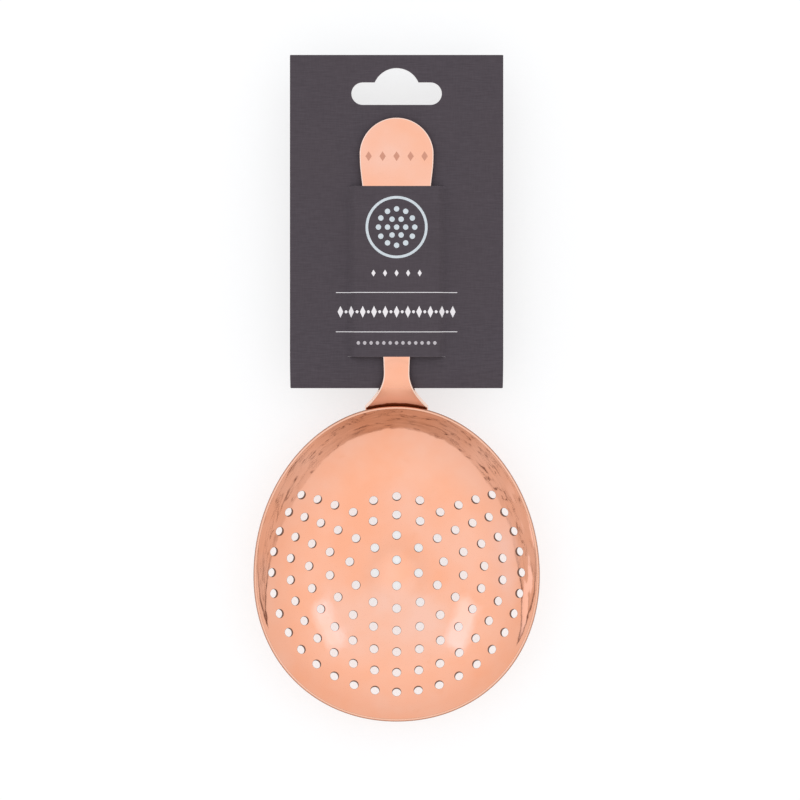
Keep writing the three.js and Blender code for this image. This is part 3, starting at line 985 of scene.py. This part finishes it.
def ink_material(name, low, high):
    """Slightly uneven matt ink between two tones."""
    material, nodes, shader, place = new_material(name)
    mottle = nodes.noise(place, 3000, 3, 0.6)
    color = nodes.mix(mottle, low, high)
    nodes.put(shader.inputs["Base Color"], color)
    nodes.put(shader.inputs["Roughness"], nodes.between(mottle, 0.3, 0.7, 0.5, 0.65))
    return material


def foil_material():
    """Silver foil with a slightly uneven gloss."""
    material, nodes, shader, place = new_material("silver_foil")
    mottle = nodes.noise(place, 1400, 3, 0.6)
    color = nodes.mix(mottle, (0.5, 0.55, 0.57, 1), (0.78, 0.82, 0.84, 1))
    nodes.put(shader.inputs["Base Color"], color)
    shader.inputs["Metallic"].default_value = 0.85
    nodes.put(shader.inputs["Roughness"], nodes.between(mottle, 0.3, 0.7, 0.25, 0.42))
    nodes.put(shader.inputs["Normal"], nodes.bump(mottle, 0.00001))
    return material


# ---- Stage, light and camera -------------------------------------------------------------------


def build_floor():
    """A white table that glows a little, so that shade on it stays light."""
    half = 1.5
    corners = [(-half, -half, 0), (half, -half, 0), (half, half, 0), (-half, half, 0)]
    floor = mesh_object("floor", corners, [(0, 1, 2, 3)])
    material, nodes, shader, place = new_material("white_table")
    grain = nodes.noise(place, 400, 2, 0.5)
    color = nodes.mix(grain, (0.395, 0.405, 0.41, 1), (0.415, 0.425, 0.43, 1))
    nodes.put(shader.inputs["Base Color"], color)
    shader.inputs["Roughness"].default_value = 1.0
    shader.inputs["Specular IOR Level"].default_value = 0.0
    shader.inputs["Emission Color"].default_value = (1.0, 1.0, 1.0, 1.0)
    shader.inputs["Emission Strength"].default_value = 0.64
    floor.data.materials.append(material)


# The soft boxes: where each is, how its tall side leans, half its width, half its height, how soft
# and how strong it is, and its colour.
SOFT_BOXES = (
    ((0.478, 0.276, 0.834), -0.33, 0.085, 0.17, 0.035, 0.85, (1.2, 1.32, 1.68, 1)),
    ((-0.46, 0.285, 0.84), 0.38, 0.1, 0.17, 0.035, 0.85, (1.2, 1.32, 1.68, 1)),
    ((-0.8, -0.12, 0.6), 0.1, 0.12, 0.2, 0.1, 0.8, (0.84, 0.96, 1.12, 1)),
)


def add_soft_box(nodes, direction, wander, color, box):
    """One glowing rectangle of the sky, with soft and slightly wandering sides."""
    place, lean, half_width, half_height, soft, strength, shade = box
    aim = unit(np.array(place))
    right = unit(np.cross([0, 1, 0], aim))
    up = np.cross(aim, right)
    tall = unit(up + lean * right)
    wide = np.cross(tall, aim)

    def along(axis):
        node = nodes.add(
            "ShaderNodeVectorMath", {0: direction, 1: tuple(axis)}, operation="DOT_PRODUCT"
        )
        return node.outputs["Value"]

    cover = nodes.between(along(aim), 0.0, 0.1, 0, strength)
    for axis, half in ((wide, half_width), (tall, half_height)):
        off = nodes.math("ABSOLUTE", nodes.math("ADD", along(axis), wander))
        cover = nodes.product(cover, nodes.between(off, half - soft, half + soft, 1, 0))
    return nodes.mix(cover, color, shade)


# The studio's light from the horizon to straight up: heights and colours.
AMBIENT = (
    (0.0, (0.95, 0.95, 0.95)),
    (0.12, (0.79, 0.76, 0.74)),
    (0.45, (0.83, 0.79, 0.77)),
    (0.8, (0.92, 0.9, 0.89)),
    (0.97, (0.91, 0.9, 0.9)),
    (0.987, (0.865, 0.86, 0.86)),
    (1.0, (0.96, 0.97, 0.98)),
)
COOL_LIGHT = (0.9, 0.985, 1.07, 1)
ZONE_BROWN = (0.62, 0.43, 0.31, 1)
ZONE_LINES = (0.12, 0.07, 0.055, 1)
ZONE_PALE = (1.0, 1.05, 1.15, 1)
STUDIO_STRENGTH = 1.1


def ambient_light(nodes, x, y, z):
    """The studio's light by height, a little cooler high up at the back."""
    cool = nodes.product(
        nodes.between(y, 0.0, 0.15, 0, 0.9),
        nodes.between(y, 0.3, 0.6, 1, 0),
        nodes.between(nodes.math("ABSOLUTE", x), 0.35, 0.75, 1, 0),
    )
    return nodes.mix(cool, nodes.ramp(z, AMBIENT), COOL_LIGHT)


def depth_in_zone(nodes, x, height, front):
    """How far a direction is inside the zone, between two heights that meet at the sides."""
    upper = nodes.math("SUBTRACT", nodes.line(front, 0.3, 0.36), nodes.product(x, 0.05))
    upper = nodes.math("MINIMUM", upper, 0.465)
    lower = nodes.math("MAXIMUM", nodes.line(front, -0.35, 0.17), 0.05)
    below = nodes.math("SUBTRACT", upper, height)
    above = nodes.math("SUBTRACT", height, lower)
    return nodes.math("MINIMUM", below, above)


def zone_shade(nodes, direction, front):
    """How much darker the zone is: most at the front, in long level streaks."""
    shade = nodes.between(front, 0.76, 0.97, 0.1, 0.5)
    streak = nodes.noise(nodes.scaled(direction, (2.2, 2.2, 45)), 1.0, 4, 0.6, 0.5)
    return nodes.product(shade, nodes.between(streak, 0.35, 0.65, 0.65, 1.35))


def zone_lines(nodes, direction, front, depth, zone):
    """Fine lines along the zone, like the grain of wood, and an outline at its pointed ends."""
    lines = 17
    field = nodes.noise(nodes.scaled(direction, (1.7, 1.7, 8)), 1.0, 2, 0.5)
    turn = nodes.math("FRACT", nodes.product(field, lines))
    line = nodes.between(nodes.away_from(turn, 0.5), 0.04, 0.16, 1, 0)
    patch = nodes.noise(nodes.scaled(direction, (6, 6, 14)), 1.0, 2, 0.5)
    patch = nodes.between(patch, 0.44, 0.56, 0, nodes.between(front, -0.1, 0.5, 0.5, 1))

    width = nodes.between(front, 0.0, -0.35, 0.012, 0.045)
    outline = nodes.product(
        nodes.between(nodes.math("ABSOLUTE", depth), 0.004, width, 1, 0),
        nodes.between(front, 0.35, 0.0, 0, 1),
        nodes.between(depth, -0.014, -0.006, 0, 1),
    )
    return nodes.math("MAXIMUM", nodes.product(line, patch, zone), outline)


def build_world():
    """A bright studio, with a streaked dark zone low at the front and soft boxes high up.

    The zone narrows to a point at each side, and fine dark lines run along it. The camera sees
    plain white: only reflections and the light on the object hold any of this.
    """
    world = bpy.data.worlds.new("studio")
    world.use_nodes = True
    world.node_tree.nodes.clear()
    nodes = Nodes(world.node_tree)
    direction = nodes.add("ShaderNodeTexCoord").outputs["Generated"]
    x, y, z = nodes.add("ShaderNodeSeparateXYZ", {0: direction}).outputs
    squares = nodes.math("ADD", nodes.product(x, x), nodes.product(y, y))
    front = nodes.math("DIVIDE", nodes.product(y, -1.0), nodes.math("SQRT", squares))

    wander = nodes.noise(nodes.scaled(direction, (2.5, 2.5, 6)), 1.0, 3, 0.5)
    wander = nodes.line(wander, 0.06, -0.03)
    depth = depth_in_zone(nodes, x, nodes.math("ADD", z, wander), front)
    zone = nodes.between(depth, -0.004, 0.012, 0, 1)
    shade = nodes.product(zone, zone_shade(nodes, direction, front))
    color = nodes.mix(shade, ambient_light(nodes, x, y, z), (0, 0, 0, 1))
    brown = nodes.product(zone, nodes.between(front, 0.74, 0.94, 0.2, 0.52))
    color = nodes.mix(brown, color, ZONE_BROWN)
    color = nodes.mix(zone_lines(nodes, direction, front, depth, zone), color, ZONE_LINES)

    # pale reflections inside the end of the zone on the left
    pale = nodes.noise(nodes.scaled(direction, (4, 4, 9)), 1.0, 2, 0.5)
    pale = nodes.product(
        nodes.between(pale, 0.52, 0.56, 0, 0.8),
        zone,
        nodes.between(x, -0.8, -0.95, 0, 1),
    )
    color = nodes.mix(pale, color, ZONE_PALE)
    for box in SOFT_BOXES:
        color = add_soft_box(nodes, direction, nodes.product(wander, 2.5), color, box)

    color = nodes.scaled(color, (STUDIO_STRENGTH,) * 3)
    seen_directly = nodes.add("ShaderNodeLightPath").outputs["Is Camera Ray"]
    color = nodes.mix(seen_directly, color, (1, 1, 1, 1))
    background = nodes.add("ShaderNodeBackground", {"Color": color, "Strength": 1.0})
    output = nodes.add("ShaderNodeOutputWorld")
    nodes.put(output.inputs["Surface"], background.outputs[0])
    bpy.context.scene.world = world


def build_camera():
    sensor = 36
    data = bpy.data.cameras.new("camera")
    data.sensor_width = sensor
    data.lens = sensor * CAMERA_HEIGHT / VIEW_WIDTH
    data.clip_start = 0.01
    camera = bpy.data.objects.new("camera", data)
    camera.location = to_frame((CAMERA_X, CAMERA_Y, RIM_TOP + CAMERA_HEIGHT))
    bpy.context.scene.collection.objects.link(camera)
    bpy.context.scene.camera = camera


# ---- The scene ---------------------------------------------------------------------------------

build_camera()
bpy.context.scene.view_settings.view_transform = "Standard"

bowl = build_bowl()
handle = build_handle()
board = build_card()
print_ink, print_small, print_foil, engraving = build_marks()

# heights of the painted shade in the crease where the handle's foot passes under the rim
crease_shade_bottom = (RIM_TOP - 0.55) * MM
crease_shade_top = (RIM_TOP - 0.4) * MM
bowl_copper = copper_material("copper_plate_bowl")
handle_copper = copper_material("copper_plate_handle", crease_shade_bottom, crease_shade_top)
# the lip's dark tone is painted shade under the rim's rounded edge
lip_copper = cut_copper_material(
    "copper_lip", (0.93, 0.52, 0.37, 1), (0.22, 0.08, 0.04, 1), (0.14, 0.24), (0.45, 0.95)
)
# the pale tone is a painted highlight along the handle's rounded edge, the dark tone painted shade
# where it turns down
edge_copper = cut_copper_material(
    "copper_handle_edge", (1.0, 0.75, 0.64, 1), (0.3, 0.12, 0.07, 1), (0.1, 0.2), (0.05, 0.3)
)
# the hole walls' dark tones are painted shade inside the holes, on a rougher punched surface
punched_and_shaded_copper = cut_copper_material(
    "copper_punched_shaded", (0.3, 0.15, 0.1, 1), (0.12, 0.06, 0.04, 1), (0.45, 0.6), (0.1, 0.8)
)
pale_ink = ink_material("pale_ink", (0.82, 0.8, 0.82, 1), (0.98, 0.96, 0.98, 1))
grey_ink = ink_material("grey_ink", (0.42, 0.39, 0.42, 1), (0.66, 0.63, 0.66, 1))
for piece, materials, body, slot in (
    (bowl, (bowl_copper, lip_copper, punched_and_shaded_copper), "strainer", "copper_plate"),
    (handle, (handle_copper, edge_copper), "strainer", "copper_plate"),
    (board, (board_material(), board_edge_material()), "card", "card_board"),
    (print_ink, (pale_ink,), "card", "card_board"),
    (print_small, (grey_ink,), "card", "card_board"),
    (print_foil, (foil_material(),), "card", "card_board"),
    (engraving, (engraving_material(),), "strainer", "copper_plate"),
):
    for material in materials:
        piece.data.materials.append(material)
    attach(piece, body)

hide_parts("bowl")
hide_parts("handle")
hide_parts("hang_card")

weld = weld_material()
for name in ("weld_left", "weld_middle", "weld_right"):
    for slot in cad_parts[name].material_slots:
        slot.material = weld

build_floor()
build_world()
